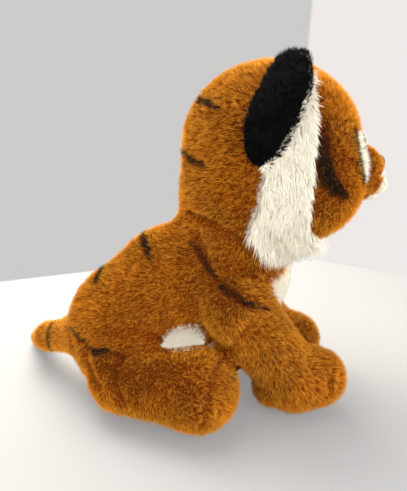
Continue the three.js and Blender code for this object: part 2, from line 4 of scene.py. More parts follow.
import bpy
import numpy as np
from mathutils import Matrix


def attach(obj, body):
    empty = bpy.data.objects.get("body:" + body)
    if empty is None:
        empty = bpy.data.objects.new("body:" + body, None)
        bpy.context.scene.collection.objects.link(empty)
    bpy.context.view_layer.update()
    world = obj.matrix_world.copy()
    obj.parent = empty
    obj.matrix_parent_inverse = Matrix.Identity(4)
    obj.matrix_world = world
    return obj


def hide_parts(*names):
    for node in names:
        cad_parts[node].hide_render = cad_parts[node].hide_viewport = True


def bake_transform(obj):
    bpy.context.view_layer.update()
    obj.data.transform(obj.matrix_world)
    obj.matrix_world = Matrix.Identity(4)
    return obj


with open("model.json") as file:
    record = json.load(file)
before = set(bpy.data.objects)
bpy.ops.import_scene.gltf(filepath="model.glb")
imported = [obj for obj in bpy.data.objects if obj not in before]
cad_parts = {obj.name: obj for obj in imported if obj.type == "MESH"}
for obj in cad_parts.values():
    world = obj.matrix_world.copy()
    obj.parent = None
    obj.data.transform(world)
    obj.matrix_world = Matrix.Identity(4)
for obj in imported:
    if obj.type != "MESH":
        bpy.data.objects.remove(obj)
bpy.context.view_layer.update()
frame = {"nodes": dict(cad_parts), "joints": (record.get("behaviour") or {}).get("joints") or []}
MM = 0.001
SIDES = {"right": -1, "left": 1}

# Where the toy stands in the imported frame, from the seam of the neck
joints = {joint["name"]: joint for joint in frame["joints"]}
neck_at = np.array(joints["head_turn"]["pos_m"])
neck_axis = np.array(joints["head_turn"]["axis"])
shift = neck_at - np.array([0, -38, 121]) * MM

# The photograph's camera
camera_at = np.array([-300.1, -18.5, 186.0]) * MM + shift
camera_down = math.radians(15)
focal_pixels = 450
photo_wide, photo_high = 407, 491

# Half sizes and middles of the stuffed body and head
body_half = np.array([46, 83, 69]) * MM
body_middle = np.array([0, 0, 69]) * MM + shift
head_half = np.array([60, 61, 56]) * MM
head_middle = np.array([0, -61, 171]) * MM + shift

# Length of the pile: what stands over the cloth
short_pile = 4.6 * MM
snout_pile = 2.6 * MM
ear_pile = 5.5 * MM
ruff_pile = 9.5 * MM


# Stuffed forms

def lump(at, size):
    return {"at": np.array(at), "size": np.array(size), "firm": 4.0}


def limb(at, to, radius, to_radius):
    return {"at": np.array(at), "to": np.array(to), "radius": radius * MM, "to_radius": to_radius * MM,
            "firm": 5.0}


def at_shares(shares, middle, half, side=1):
    return middle + half * np.array(shares) * np.array([side, 1, 1])


def lumps_at_shares(shares, middle, half):
    return [lump(at_shares(at, middle, half), half * np.array(size)) for at, size in shares]


def depth(part, points):
    """Squared distance into a lump, 1 on its skin: (offset / size) squared for an ellipsoid, and for a limb
    (distance to its line / radius there) squared."""
    if "size" in part:
        return (((points - part["at"]) / part["size"]) ** 2).sum(-1)
    line = part["to"] - part["at"]
    share = np.clip((points - part["at"]) @ line / (line @ line), 0, 1)
    radius = part["radius"] + (part["to_radius"] - part["radius"]) * share
    nearest = part["at"] + share[..., None] * line
    return ((points - nearest) ** 2).sum(-1) / radius**2


def fullness(form, points):
    """Log of the sum over the lumps of exp(firm (1 - depth)): 0 on the skin, more than 0 inside it."""
    total = sum(np.exp(part["firm"] * (1 - depth(part, points))) for part in form)
    return np.log(total + 1e-200)


def unit(vectors):
    return vectors / np.maximum(np.linalg.norm(vectors, axis=-1, keepdims=True), 1e-12)


def fall(form, points, probe=0.05 * MM):
    """How fast the fullness falls along each axis, from its values a little to both sides."""
    steps = np.eye(3) * probe
    fallen = [fullness(form, points - move) - fullness(form, points + move) for move in steps]
    return np.stack(fallen, -1) / (2 * probe)


def settled(form, points, most):
    """Newton steps down the fullness to its skin, and no further than most from where they began."""
    start = points
    for _ in range(5):
        slope = fall(form, points)
        points = points + slope * (fullness(form, points) / (slope**2).sum(-1))[..., None]
        moved = points - start
        length = np.linalg.norm(moved, axis=-1, keepdims=True)
        points = start + moved * np.minimum(1, most / np.maximum(length, 1e-9))
    return points


def round_ways(axis, columns):
    """Directions all round an axis and square to it, in columns whose last is the first again."""
    across = np.array([1.0, 0, 0]) if abs(axis[0]) < 0.9 else np.array([0, 1.0, 0])
    first = unit(np.cross(across, axis))
    around = np.linspace(0, 2 * np.pi, columns + 1)[None, :, None]
    return first * np.cos(around) + np.cross(axis, first) * np.sin(around)


def ball_grid(rows, columns, axis, stretch=1.0):
    """Directions on a grid from pole to pole: axis cos(polar) stretch + radial sin(polar), made unit."""
    axis = unit(np.array(axis, float))
    polar = np.linspace(0, np.pi, rows + 1)[:, None, None]
    return unit(axis * np.cos(polar) * stretch + round_ways(axis, columns) * np.sin(polar))


def halved(form, start, ways, inside, outside, times):
    """The point on each way from the start where the fullness is 0, by halving the way to it, between a
    distance inside the form and one outside it."""
    for _ in range(times):
        middle = (inside + outside) / 2
        full = fullness(form, start + ways * middle[..., None]) > 0
        inside = np.where(full, middle, inside)
        outside = np.where(full, outside, middle)
    return start + ways * inside[..., None]


def skin_grid(form, core, directions):
    """The point of the form's skin in each direction from its core, which is up to 0.3 m away."""
    away = np.zeros(directions.shape[:-1])
    return halved(form, core, directions, away, away + 0.3, 24)


# The lumps of each stuffed part, from the same values as the solids. Where two limbs of a part join, both
# fill the form, so that their radius there is this share of the part's own.
join_share = 0.94
paw_radius = 23.5
foot_radius = 27.5
tail_curl, tail_back = 56, 49


def front_leg_form(side):
    shoulder = at_shares([0.84, -0.47, 0.11], body_middle, body_half, side)
    toe_in = math.radians(10)
    forward = np.array([-side * math.sin(toe_in), -math.cos(toe_in), 0])
    paw = shoulder + forward * 39.5 * MM
    paw[2] = 22.5 * MM
    paw[1] += (3.5 * MM if side > 0 else 0)
    toes = paw + forward * 16 * MM
    heel = lump(paw + np.array([0, 16, -6.5]) * MM, np.array([17, 12, 12]) * MM)
    joined = paw_radius * join_share
    return [limb(shoulder, paw, paw_radius, joined), heel, limb(paw, toes, joined, paw_radius * 0.92)]


def hind_leg_form(side):
    thigh = at_shares([0.76, 0.39, 0], body_middle, body_half, side)
    thigh[2] = 26.5 * MM
    toe_out = math.radians(19.5)
    foot = thigh + np.array([side * math.sin(toe_out), -math.cos(toe_out), 0]) * 49.5 * MM
    foot[2] = 26.5 * MM
    joined = foot_radius * join_share
    return [limb(thigh, foot, joined, joined), limb(foot, foot + [0, 0, MM], joined, joined)]


def tail_form():
    root = at_shares([0.06, 0.91, -0.46], body_middle, body_half)
    tip = root + np.array([tail_curl, tail_back, 0]) * MM
    tip[2] = 7 * MM
    bend = root + np.array([tail_curl * 0.36, tail_back * 0.54, 0]) * MM
    bend[2] = root[2] + (tip[2] - root[2]) * 0.37
    inward = unit(root - bend) * 16 * MM
    return [limb(root + inward, bend, 16, 13 * join_share), limb(bend, tip, 13 * join_share, 8)]


# The belly's bulge and the swell of the flank, where the body meets the legs
bulge_at = np.array([38, -6.8, 51]) * MM
bulge_size = np.array([14.2, 11.5]) * MM
flank_at = np.array([29, -30, 53]) * MM
folds = [
    lump(np.array([side, 1, 1]) * at + shift, np.array(size) * MM)
    for at, size in ((bulge_at, [10.5, 14, 9.5]), (flank_at, [12, 15, 12])) for side in (-1, 1)
]

forms = {
    "torso": lumps_at_shares([
        ([0, -0.46, 0.26], [0.90, 0.50, 0.58]),
        ([0, -0.48, 0.66], [0.88, 0.48, 0.46]),
        ([0, 0.05, 0.04], [0.88, 0.52, 0.71]),
        ([0, 0.43, -0.35], [0.94, 0.53, 0.71]),
    ], body_middle, body_half) + folds,
    "head": lumps_at_shares([
        ([0, -0.01, 0.05], [0.95, 0.95, 0.94]),
        ([0, 0.36, -0.52], [0.78, 0.60, 0.62]),
        ([0.46, -0.30, -0.35], [0.45, 0.60, 0.64]),
        ([-0.46, -0.30, -0.35], [0.45, 0.60, 0.64]),
        ([0, -0.51, -0.55], [0.46, 0.46, 0.40]),
    ], head_middle, head_half),
    "tail": tail_form(),
}
for name, side in SIDES.items():
    forms[f"front_leg_{name}"] = front_leg_form(side)
    forms[f"hind_leg_{name}"] = hind_leg_form(side)
whole = [part for form in forms.values() for part in form]


# Places of the photograph on the toy

def seen_at(pixels):
    """Points of the toy's skin that these places of the photograph show: the first point along each line
    of sight that is inside, then halved back to the skin."""
    pixels = np.array(pixels, float)
    ahead = np.array([math.cos(camera_down), 0, -math.sin(camera_down)])
    above = np.array([math.sin(camera_down), 0, math.cos(camera_down)])
    right = np.array([0, -1.0, 0])
    across = (pixels[:, 0] - photo_wide / 2)[:, None]
    down = (pixels[:, 1] - photo_high / 2)[:, None]
    ways = unit(ahead * focal_pixels + right * across - above * down)
    steps = np.linspace(0.17, 0.42, 501)
    along = camera_at + ways[:, None] * steps[None, :, None]
    full = fullness(whole, along)
    hit = full > 0
    first = np.where(hit.any(1), hit.argmax(1), full.argmax(1))
    return halved(whole, camera_at, ways, steps[first], steps[np.maximum(first - 1, 0)], 12)


def line_on_skin(pixels, joined=False):
    """A line over the skin, by places of the photograph. A joined line starts at the toy's middle plane."""
    points = seen_at(pixels)
    if joined:
        middle = points[0] * np.array([0, 1, 1])
        points = np.vstack([settled(whole, middle[None], 30 * MM), points])
    return points


def nearness(points, line, width, taper=True):
    """Distance from each point to a line of straight pieces over the line's half width, which narrows to
    its ends as the root of a half sine. 1 is the line's edge."""
    starts, ends = line[:-1], line[1:]
    lengths = np.linalg.norm(ends - starts, axis=1)
    before = np.concatenate([[0], np.cumsum(lengths)])
    best = np.full(len(points), 1e9)
    for start, end, length, done in zip(starts, ends, lengths, before):
        share = np.clip((points - start) @ (end - start) / length**2, 0, 1)
        away = np.linalg.norm(points - start - share[:, None] * (end - start), axis=1)
        along = (done + share * length) / before[-1]
        local = width * (np.sqrt(np.sin(np.pi * np.clip(0.06 + 0.9 * along, 0, 1))) if taper else 1)
        best = np.minimum(best, away / local)
    return best


def both_sides(line):
    return [line, line * np.array([-1, 1, 1])]


# Dark stripes: places of the photograph, half width in mm, and whether both sides meet
stripe_table = [
    ([(195, 92), (200, 97), (208, 102), (218, 107)], 2.7, False),
    ([(179, 150), (190, 157), (207, 168)], 2.9, True),
    ([(190, 240), (198, 252), (208, 268), (222, 285), (238, 297), (254, 303), (270, 307)], 2.4, False),
    ([(143, 232), (147, 245), (151, 258)], 2.8, True),
    ([(104, 262), (99, 270), (95, 282)], 3.0, True),
    ([(68, 326), (82, 341), (93, 352), (106, 349), (121, 355)], 2.4, False),
    ([(330, 132), (328, 146), (328, 160), (331, 174), (338, 187), (352, 197)], 6.2, False),
    ([(334, 117), (333, 126), (330, 136)], 1.2, False),
    ([(339, 77), (342, 81), (345, 86)], 1.0, False),
]
stripes = [
    (line, width * MM)
    for pixels, width, joined in stripe_table for line in both_sides(line_on_skin(pixels, joined))
]

# Creases of the cloth: places of the photograph, depth and half width in mm
crease_table = [
    ([(187, 214), (200, 219), (215, 226), (232, 235), (248, 244)], 3.2, 3.4),
    ([(67, 330), (69, 345), (76, 366)], 2.6, 3.2),
    ([(82, 344), (84, 362), (93, 386)], 4.0, 3.6),
    ([(118, 356), (111, 366), (110, 384), (116, 402)], 4.2, 3.8),
    ([(118, 355), (138, 351), (158, 347)], 1.0, 4.0),
    ([(331, 379), (330, 386), (333, 392)], 2.8, 3.2),
    ([(342, 372), (344, 380), (343, 388)], 1.8, 3.0),
    ([(222, 351), (213, 368), (207, 388), (203, 410), (200, 430)], 2.6, 2.6),
    ([(104, 334), (128, 329), (148, 331), (160, 338)], 1.4, 4.5),
    ([(196, 232), (206, 256), (214, 280), (218, 300)], 1.2, 5.0),
    ([(228, 350), (238, 338), (252, 326)], 1.6, 5.0),
]
creases = [
    (line, deep * MM, width * MM)
    for pixels, deep, width in crease_table for line in both_sides(line_on_skin(pixels))
]


# Smooth chance

def ripple(points, scale, seed):
    """Smooth random value from about -1 to 1: the mean of twelve sine waves of about this length."""
    draw = np.random.default_rng(seed)
    ways = unit(draw.normal(size=(12, 3))) * (2 * np.pi / scale) * draw.uniform(0.6, 1.5, (12, 1))
    turns = draw.uniform(0, 2 * np.pi, 12)
    return np.sin(points @ ways.T + turns).mean(-1) * 2.4


def swirl(points, scale, seed):
    return np.stack([ripple(points, scale, seed + k) for k in range(3)], -1)


def tufts(points, cell, seed):
    """The middle of the tuft that each point belongs to, and three chances of its own: its cube of this
    size, with the middle moved by those chances, which are drawn from the cube's place."""
    place = np.floor(points / cell + ripple(points, cell * 5, seed)[:, None] * 0.5)
    mixed = place @ np.array([[127.1, 311.7, 74.7], [269.5, 183.3, 246.1], [113.5, 271.9, 124.6]]) + seed
    chance = np.modf(np.abs(np.sin(mixed) * 43758.5453))[0]
    return (place + 0.15 + 0.7 * chance) * cell, chance


# Regions of colour, 1 inside

belly_middle = at_shares([0, -0.44, -0.24], body_middle, body_half)
belly_size = body_half * np.array([1.0, 0.86, 0.50])


def in_belly(points):
    """Squared distance into the white panel of chest and belly: an ellipsoid turned 38 degrees about X."""
    tilt = math.radians(38)
    turn = np.array([[1, 0, 0], [0, math.cos(tilt), -math.sin(tilt)], [0, math.sin(tilt), math.cos(tilt)]])
    local = (points - belly_middle) @ turn.T / belly_size
    return (local**2).sum(-1)


def in_oval(points, middle, size):
    """Squared distance into an oval of the side view, on both flanks of the toy."""
    share = (points - shift - middle)[:, 1:] / size
    return (share**2).sum(-1) + (np.abs(points[:, 0]) < 24 * MM) * 9.0


eye_ways = {name: unit(np.array([0.34 * side, -0.94, 0.07])) for name, side in SIDES.items()}
eye_places = {name: skin_grid(forms["head"], head_middle, way[None])[0] for name, way in eye_ways.items()}
eye_normals = {name: unit(fall(forms["head"], place[None]))[0] for name, place in eye_places.items()}
snout_seat = skin_grid(forms["head"], head_middle, unit(np.array([[0, -0.97, -0.25]])))[0]


def eye_frame(name):
    """Two directions along the face at an eye: outwards to the side, and up."""
    normal = eye_normals[name]
    upward = unit(np.array([0, 0, 1.0]) - normal * normal[2])
    return np.cross(upward, normal) * SIDES[name], upward


def eye_patch(points):
    """Shares of the way out of the white patch round the nearer eye, and how far outwards. Its middle lies
    11 mm outwards and 7 mm below the eye. It reaches 15.5 mm up and down, 8 mm outwards, 23 mm inwards."""
    best = np.full(len(points), 9.0)
    outer = np.zeros(len(points))
    for name in SIDES:
        aside, upward = eye_frame(name)
        offset = points - eye_places[name]
        across = offset @ aside / MM - 11
        across = across / np.where(across > 0, 8, 23)
        rise = (offset @ upward / MM + 7) / 15.5
        behind = np.abs(offset @ eye_normals[name]) > 22 * MM
        share = np.sqrt(across**2 + rise**2) + behind * 9.0
        nearer = share < best
        best = np.where(nearer, share, best)
        outer = np.where(nearer, across, outer)
    return best, outer


ruff_shares = np.array([
    (-0.28, 0.82), (-0.28, 0.10), (-0.26, -0.50), (-0.30, -0.80), (-0.48, -0.96), (-0.44, -1.20),
    (-0.10, -1.16), (0.24, -0.80), (0.16, -0.50), (0.12, 0.06), (-0.08, 0.34),
])


def in_outline(places, outline):
    """Whether each place is inside a closed outline: an odd count of its sides lies to the right."""
    inside = np.zeros(len(places), bool)
    for a, b in zip(outline, np.roll(outline, -1, 0)):
        spans = (a[1] > places[:, 1]) != (b[1] > places[:, 1])
        crossing = a[0] + (places[:, 1] - a[1]) * (b[0] - a[0]) / (b[1] - a[1] + 1e-12)
        inside ^= spans & (places[:, 0] < crossing)
    return inside


def in_ruff(points, grow=0.0):
    shares = (points - head_middle)[:, 1:] / head_half[1:]
    outline = ruff_shares + unit(ruff_shares - ruff_shares.mean(0)) * grow
    beside = np.abs(points[:, 0]) > head_half[0] * np.where(shares[:, 1] < -0.78, 0.0, 0.46)
    return in_outline(shares, outline) & beside


def step(values, low, high):
    share = np.clip((values - low) / (high - low), 0, 1)
    return share * share * (3 - 2 * share)


def in_bulge(points):
    """Where the white belly bulges out between the legs, on both flanks."""
    return in_oval(points, bulge_at, bulge_size) < 1


def marks_from(pale, dark, shade):
    """Per strand: how white, how dark, and its own shade, each 0 to 1."""
    return np.stack(np.broadcast_arrays(pale, dark, shade), -1)


def plain_marks(points, chance):
    return marks_from(0, 0, chance)


def body_marks(points, chance):
    dark = np.zeros(len(points))
    for line, width in stripes:
        dark = np.maximum(dark, 1 - step(nearness(points, line, width), 0.70, 1.25))
    # Painted shade: the dark mark is raised along each crease, for the shade down in it.
    for line, deep, _ in creases:
        away = nearness(points, line, 1.5 * MM, taper=False)
        dark = np.maximum(dark, 0.15 * deep / MM * np.exp(-away**2))
    rough = ripple(points, 9 * MM, 41) * 0.07 + (chance - 0.5) * 0.10
    pale = 1 - step(in_belly(points) + rough, 0.93, 1.02)
    pale *= step(in_oval(points, flank_at, np.array([17, 13]) * MM) + rough, 0.93, 1.02)
    bulge = in_bulge(points)
    pale = np.maximum(pale, bulge)
    return marks_from(pale, dark * (chance > 0.05) * (1 - bulge), chance)


def limb_marks(points, chance):
    marks = body_marks(points, chance)
    marks[:, 0] = 0
    return marks


def head_marks(points, chance):
    marks = body_marks(points, chance)
    share, outer = eye_patch(points)
    rough = (chance - 0.5) * 0.10
    white = 1 - step(share + rough, 0.92, 1.0)
    ring = step(share + rough, 0.86, 0.93) * (1 - step(share + rough, 1.30, 1.50)) * step(outer, 0.25, 0.6)
    marks[:, 0] = np.maximum(white, in_ruff(points, 0.03))
    marks[:, 0] *= 1 - ring
    marks[:, 1] = np.maximum(marks[:, 1] * (1 - white), ring) * (1 - in_ruff(points))
    return marks


# Meshes

def over_table(points, height):
    """The points, lifted where they are lower than this height in mm over the table."""
    points[..., 2] = np.maximum(points[..., 2], height * MM)
    return points


def placed(name, data):
    made = bpy.data.objects.new(name, data)
    bpy.context.scene.collection.objects.link(made)
    return made


def finished(name, mesh, uvs, material):
    """The object of a mesh, smooth, with its UV map and its material."""
    mesh.uv_layers.new(name="OFBake").data.foreach_set("uv", uvs.astype(np.float32).ravel())
    mesh.shade_smooth()
    mesh.materials.append(material)
    return placed(name, mesh)


def closed_skin(name, grid, material):
    """The mesh of a grid whose first and last rows are poles and whose last column is its first again."""
    rows, columns = grid.shape[0] - 1, grid.shape[1] - 1
    points = np.vstack([grid[1:rows, :columns].reshape(-1, 3), grid[0, 0], grid[rows, 0]])
    ends = (rows - 2) * columns
    row, column = np.divmod(np.arange(ends), columns)
    here, after = row * columns + column, row * columns + (column + 1) % columns
    quads = np.stack([here, here + columns, after + columns, after], -1)
    u0, u1 = column / columns, (column + 1) / columns
    v0, v1 = (row + 1) / rows, (row + 2) / rows
    quad_uvs = np.stack([u0, v0, u0, v1, u1, v1, u1, v0], -1)
    turn = np.arange(columns)
    following = (turn + 1) % columns
    top = np.stack([np.full(columns, len(points) - 2), turn, following], -1)
    bottom = np.stack([np.full(columns, len(points) - 1), ends + following, ends + turn], -1)
    a, b, m = turn / columns, (turn + 1) / columns, (turn + 0.5) / columns
    low, high = np.full(columns, 1 / rows), np.full(columns, (rows - 1) / rows)
    top_uvs = np.stack([m, 0 * m, a, low, b, low], -1)
    bottom_uvs = np.stack([m, 0 * m + 1, b, high, a, high], -1)
    mesh = bpy.data.meshes.new(name)
    mesh.from_pydata(points.tolist(), [], quads.tolist() + top.tolist() + bottom.tolist())
    uvs = np.concatenate([quad_uvs.ravel(), top_uvs.ravel(), bottom_uvs.ravel()])
    return finished(name, mesh, uvs, material)


def mark_skin(skin, marks, tips=0.0):
    """Stores what the pile's material reads at each vertex: its marks, and the share of the way to a tip."""
    values = np.column_stack([marks, np.broadcast_to(tips, len(marks))])
    attribute = skin.data.attributes.new("pile", "FLOAT_COLOR", "POINT")
    attribute.data.foreach_set("color", values.astype(np.float32).ravel())


def skin_vertices(skin):
    points = np.zeros(len(skin.data.vertices) * 3)
    skin.data.vertices.foreach_get("co", points)
    return points.reshape(-1, 3)


def rooted(grid, normals, density, seed, wanted):
    """Chance roots on a grid surface, so many to a square millimetre, where they are wanted: their points,
    normals and (u, v), and a chance of their own."""
    draw = np.random.default_rng(seed)
    down = grid[1:, :-1] - grid[:-1, :-1]
    along = grid[:-1, 1:] - grid[:-1, :-1]
    other_down = grid[1:, 1:] - grid[:-1, 1:]
    other_along = grid[1:, 1:] - grid[1:, :-1]
    area = np.linalg.norm(np.cross(down, along), axis=-1)
    area = area + np.linalg.norm(np.cross(other_down, other_along), axis=-1)
    running = np.cumsum(area.ravel() / 2)
    count = int(running[-1] * (density * (1 / (MM * MM))))
    picked = np.minimum(np.searchsorted(running, draw.random(count) * running[-1]), len(running) - 1)
    row, column = np.divmod(picked, grid.shape[1] - 1)
    s, t = draw.random((2, count, 1))

    def at_places(values):
        top = values[row, column] * (1 - t) + values[row, column + 1] * t
        bottom = values[row + 1, column] * (1 - t) + values[row + 1, column + 1] * t
        return top * (1 - s) + bottom * s

    places = np.stack([(column + t[:, 0]) / (grid.shape[1] - 1), (row + s[:, 0]) / (grid.shape[0] - 1)], -1)
    roots, root_normals = at_places(grid), unit(at_places(normals))
    chosen = wanted(roots, root_normals)
    return roots[chosen], root_normals[chosen], places[chosen], draw.random(int(chosen.sum()))


def strand_mesh(name, paths, radii, marks, places, material):
    """Closed three-sided strands along paths (strand, level, xyz): a triangle round each level but the
    last, which is the tip. Each strand has its own small cell of the UV map, next to its neighbours."""
    count, levels = paths.shape[:2]
    rings = levels - 1
    ways = unit(paths[:, 1:] - paths[:, :-1])
    aside = unit(np.cross(ways, ways[:, :, [1, 2, 0]] + [0.31, 0.17, -0.23]))
    other = np.cross(ways, aside)
    angles = np.array([0, 2, 4]) * np.pi / 3
    spread = radii[:, :rings, None, None] * (
        aside[:, :, None] * np.cos(angles)[:, None] + other[:, :, None] * np.sin(angles)[:, None]
    )
    corners = (paths[:, :rings, None] + spread).reshape(count, rings * 3, 3)
    points = over_table(np.concatenate([corners, paths[:, -1:]], 1), 0.3)
    faces = [[2, 1, 0]]
    for ring in range(rings - 1):
        for k in range(3):
            a, b = ring * 3 + k, ring * 3 + (k + 1) % 3
            faces += [[a, b, b + 3], [a, b + 3, a + 3]]
    last = (rings - 1) * 3
    faces += [[last + k, last + (k + 1) % 3, rings * 3] for k in range(3)]
    size = rings * 3 + 1
    corner_faces = (np.array(faces)[None] + (np.arange(count) * size)[:, None, None]).reshape(-1, 3)

    columns = max(1, math.ceil(math.sqrt(count)))
    column, row = np.empty((2, count), int)
    column[np.argsort(places[:, 0], kind="stable")] = np.arange(count) // columns
    row[np.lexsort((places[:, 1], column))] = np.arange(count) % columns
    cell = [[0.12 + 0.38 * k, 0.10 + 0.80 * ring / rings] for ring in range(rings) for k in range(3)]
    cell = np.array([*cell, [0.5, 0.92]])
    cell_uvs = (cell[None] + np.stack([column, row], -1)[:, None]) / columns

    mesh = bpy.data.meshes.new(name)
    mesh.vertices.add(count * size)
    mesh.vertices.foreach_set("co", points.astype(np.float32).ravel())
    mesh.loops.add(corner_faces.size)
    mesh.loops.foreach_set("vertex_index", corner_faces.astype(np.int32).ravel())
    mesh.polygons.add(len(corner_faces))
    mesh.polygons.foreach_set("loop_start", np.arange(0, corner_faces.size, 3, dtype=np.int32))
    mesh.update(calc_edges=True)
    made = finished(name, mesh, cell_uvs.reshape(-1, 2)[corner_faces.ravel()], material)
    tips = np.append(np.repeat(np.arange(rings) / rings, 3), 1.0)
    mark_skin(made, np.repeat(marks, size, 0), np.tile(tips, count))
    return made


def combed(points, normals, flow, wander, ragged, seed, own):
    """Unit directions along the skin: the flow without its part along the normal, turned by a swirl and
    by each tuft's own way."""
    flow = unit(flow) + wander * swirl(points, 26 * MM, seed) + 0.5 * wander * swirl(points, 8 * MM, seed + 5)
    flow = flow + ragged * (own - 0.5)
    return unit(flow - (flow * normals).sum(-1)[:, None] * normals)


def pile_paths(points, normals, lay, length, lean, levels, middles, pull, draw, droop):
    """Lines of strands: each leans from the normal towards its lay, a little more at each level, its tip is
    drawn towards the middle of its tuft, and long ones droop."""
    count = len(points)
    length = length[:, None] * draw.uniform(0.78, 1.08, count)[:, None]
    stray = draw.normal(0, 0.16, (count, 3))
    path = [points]
    for level in range(1, levels):
        angle = lean * (0.7 + 0.5 * level / (levels - 1))
        way = normals * np.cos(angle)[:, None] + lay * np.sin(angle)[:, None] + stray
        way[:, 2] -= droop * level / (levels - 1)
        path.append(path[-1] + unit(way) * length / (levels - 1))
    toward = middles - points
    toward -= (toward * normals).sum(-1)[:, None] * normals
    for level in range(1, levels):
        path[level] = path[level] + toward * pull * (level / (levels - 1)) ** 1.5
    return np.stack(path, 1)


# Shader nodes

def feed(tree, made, inputs):
    """Sets a node's inputs, by name or number, or links those whose value is another node's socket."""
    for socket, value in inputs.items():
        if isinstance(value, bpy.types.NodeSocket):
            tree.links.new(value, made.inputs[socket])
        else:
            made.inputs[socket].default_value = value


def node(tree, kind, inputs=None, **values):
    """A node of this kind, to the right of those before it."""
    made = tree.nodes.new(kind)
    made.location = (200 * len(tree.nodes) - 2000, 400)
    for name, value in values.items():
        setattr(made, name, value)
    feed(tree, made, inputs or {})
    return made


def mix(tree, factor, first, second):
    return node(tree, "ShaderNodeMix", {0: factor, 6: first, 7: second}, data_type="RGBA").outputs[2]


def maths(tree, operation, *values):
    return node(tree, "ShaderNodeMath", dict(enumerate(values)), operation=operation).outputs[0]


def noise(tree, place, scale, detail):
    made = node(tree, "ShaderNodeTexNoise", {"Vector": place, "Scale": scale, "Detail": detail})
    return made.outputs["Fac"]


def between(tree, value, low, high):
    made = node(tree, "ShaderNodeMapRange", {"Value": value, "From Min": low, "From Max": high},
                interpolation_type="SMOOTHSTEP")
    return made.outputs["Result"]


def group_with(name, inputs, outputs):
    """A node group with named sockets: a vector where the default is None, a colour where it is a tuple,
    and a value where it is a number. Gives its tree, what comes in, and its output node."""
    kinds = {type(None): "NodeSocketVector", tuple: "NodeSocketColor", float: "NodeSocketFloat"}
    tree = bpy.data.node_groups.new(name, "ShaderNodeTree")
    for socket, default in inputs.items():
        made = tree.interface.new_socket(socket, in_out="INPUT", socket_type=kinds[type(default)])
        if default is not None:
            made.default_value = default
    for socket, kind in outputs.items():
        tree.interface.new_socket(socket, in_out="OUTPUT", socket_type=kind)
    given = node(tree, "NodeGroupInput").outputs
    return tree, given, node(tree, "NodeGroupOutput")


def dyed_pile_group():
    """Colour of the pile: the painted shade colour at the roots, for the shade down between the strands;
    bright at the tips, lighter tips that also stand in for a painted glow of light through them at the rims;
    patches of painted shade, where the pile parts or lies another way; tufts of their own shade; and the
    white and dark regions that the strands carry, the dark ones with painted shade in the creases."""
    tree, given, out = group_with("dyed_pile", {
        "Place": None, "Marks": (0, 0, 0, 1), "Tip": 0.0, "Main": (0.7, 0.3, 0.05, 1),
        "Painted Shade": (0.3, 0.1, 0.02, 1), "Bright": (0.9, 0.5, 0.15, 1), "White": (0.9, 0.88, 0.8, 1),
        "Dark": (0.02, 0.018, 0.015, 1), "Patches": 1.0,
    }, {"Color": "NodeSocketColor"})
    pale, dark, shade = node(tree, "ShaderNodeSeparateColor", {0: given["Marks"]}).outputs[:3]
    # Painted shade: two scales of noise mix the pile towards its shade colour in patches, where it parts or
    # lies another way.
    broad = between(tree, noise(tree, given["Place"], 30, 2), 0.38, 0.66)
    fine = between(tree, noise(tree, given["Place"], 260, 2), 0.38, 0.66)
    broad = maths(tree, "MULTIPLY", broad, 0.7)
    both = maths(tree, "MULTIPLY_ADD", fine, 0.45, broad)
    patch = maths(tree, "MULTIPLY", both, given["Patches"])
    dye = mix(tree, patch, given["Main"], given["Painted Shade"])
    # Painted shade: the roots are mixed towards the shade colour, for the shade down between the strands.
    low = maths(tree, "SUBTRACT", 1.0, between(tree, given["Tip"], 0.15, 0.75))
    dye = mix(tree, maths(tree, "MULTIPLY", low, 0.85), dye, given["Painted Shade"])
    # Bright tips: lighter tips, which also stand in for a painted glow of light through them at the rims.
    ends = between(tree, given["Tip"], 0.45, 0.95)
    own = maths(tree, "MULTIPLY_ADD", shade, 0.85, 0.15)
    dye = mix(tree, maths(tree, "MULTIPLY", ends, own), dye, given["Bright"])
    dye = mix(tree, pale, dye, given["White"])
    feed(tree, out, {"Color": mix(tree, dark, dye, given["Dark"])})
    return tree


def knit_group():
    """Height of a knitted backing: fine crossed rows of loops, broken up by noise."""
    tree, given, out = group_with("knit_backing", {"Place": None, "Loops": 900.0},
                                  {"Height": "NodeSocketFloat"})
    loops = node(tree, "ShaderNodeTexVoronoi", {"Vector": given["Place"], "Scale": given["Loops"]})
    worn = noise(tree, given["Place"], 240, 3)
    feed(tree, out, {"Height": maths(tree, "MULTIPLY", loops.outputs["Distance"], worn)})
    return tree


dyed_pile = dyed_pile_group()
knit_backing = knit_group()


def new_material(name, sockets):
    material = bpy.data.materials.new(name)
    material.use_nodes = True
    tree = material.node_tree
    shader = tree.nodes["Principled BSDF"]
    shader.location = (500, 0)
    tree.nodes["Material Output"].location = (800, 0)
    feed(tree, shader, sockets)
    return material, tree, shader


def object_place(tree):
    return node(tree, "ShaderNodeTexCoord").outputs["Object"]


def add_bump(tree, shader, distance, height):
    bump = node(tree, "ShaderNodeBump", {"Distance": distance, "Height": height})
    feed(tree, shader, {"Normal": bump.outputs["Normal"]})


